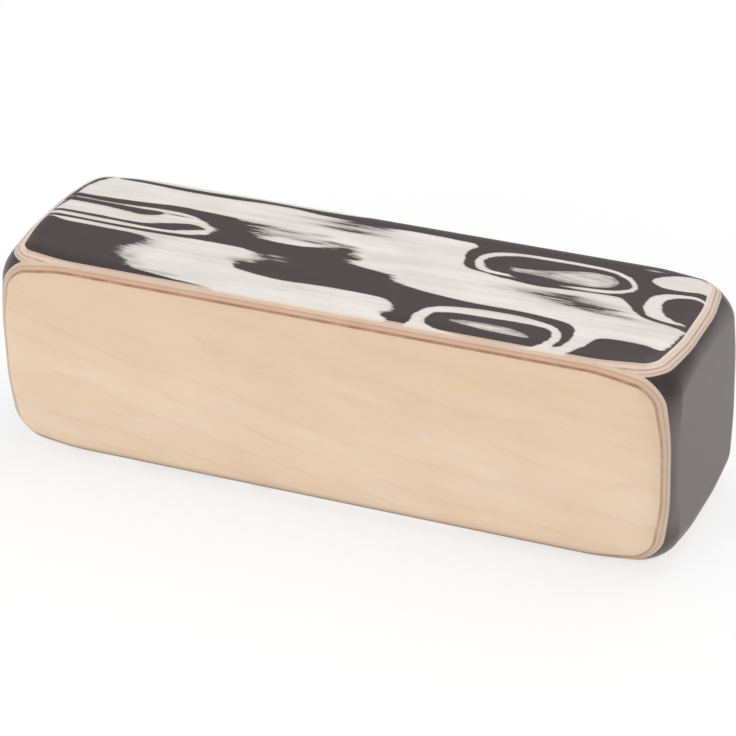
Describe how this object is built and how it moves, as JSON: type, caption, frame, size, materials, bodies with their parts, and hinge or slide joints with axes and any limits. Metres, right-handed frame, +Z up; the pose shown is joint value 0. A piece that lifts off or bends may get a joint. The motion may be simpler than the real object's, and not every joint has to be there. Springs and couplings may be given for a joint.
{
  "type": "box shaker",
  "caption": "Hand-held wooden box shaker: rounded plywood panels with a black and white figured top, black end blocks, and loose shot inside that slides from front to back.",
  "frame": {"origin": "middle of the bottom face, on the surface that the shaker rests on", "axes": "+X along the length towards the right end, +Y from the front panel to the back panel, +Z up through the figured top"},
  "size_m": [0.161, 0.05, 0.05],
  "materials": {
    "pale_maple": "sanded, clear satin",
    "pink_core": "sanded end grain",
    "cream_ply": "sanded",
    "figured_veneer": "black and white figured, clear satin",
    "black_end": "black stain, satin",
    "steel_shot": "tumbled"
  },
  "bodies": {
    "shell": {"front_face_ply": "pale_maple", "front_core_ply": "pink_core", "front_inner_ply": "cream_ply", "back_face_ply": "pale_maple", "back_core_ply": "pink_core", "back_inner_ply": "cream_ply", "top_face_veneer": "figured_veneer", "top_outer_ply": "cream_ply", "top_middle_ply": "pink_core", "top_lining_ply": "cream_ply", "bottom_face_veneer": "figured_veneer", "bottom_outer_ply": "cream_ply", "bottom_middle_ply": "pink_core", "bottom_lining_ply": "cream_ply", "left_end_block": "black_end", "right_end_block": "black_end"},
    "shot_1": {"shot_heap_1": "steel_shot"},
    "shot_2": {"shot_heap_2": "steel_shot"},
    "shot_3": {"shot_heap_3": "steel_shot"},
    "shot_4": {"shot_heap_4": "steel_shot"},
    "shot_5": {"shot_heap_5": "steel_shot"},
    "shot_6": {"shot_heap_6": "steel_shot"}
  },
  "joints": [
    {"name": "shot_1_slide", "type": "slide", "parent": "shell", "child": "shot_1", "axis": [0, 1, 0], "range_m": [-0.0121, 0.0121]},
    {"name": "shot_2_slide", "type": "slide", "parent": "shell", "child": "shot_2", "axis": [0, 1, 0], "range_m": [-0.0121, 0.0121]},
    {"name": "shot_3_slide", "type": "slide", "parent": "shell", "child": "shot_3", "axis": [0, 1, 0], "range_m": [-0.0121, 0.0121]},
    {"name": "shot_4_slide", "type": "slide", "parent": "shell", "child": "shot_4", "axis": [0, 1, 0], "range_m": [-0.0121, 0.0121]},
    {"name": "shot_5_slide", "type": "slide", "parent": "shell", "child": "shot_5", "axis": [0, 1, 0], "range_m": [-0.0121, 0.0121]},
    {"name": "shot_6_slide", "type": "slide", "parent": "shell", "child": "shot_6", "axis": [0, 1, 0], "range_m": [-0.0121, 0.0121]}
  ]
}
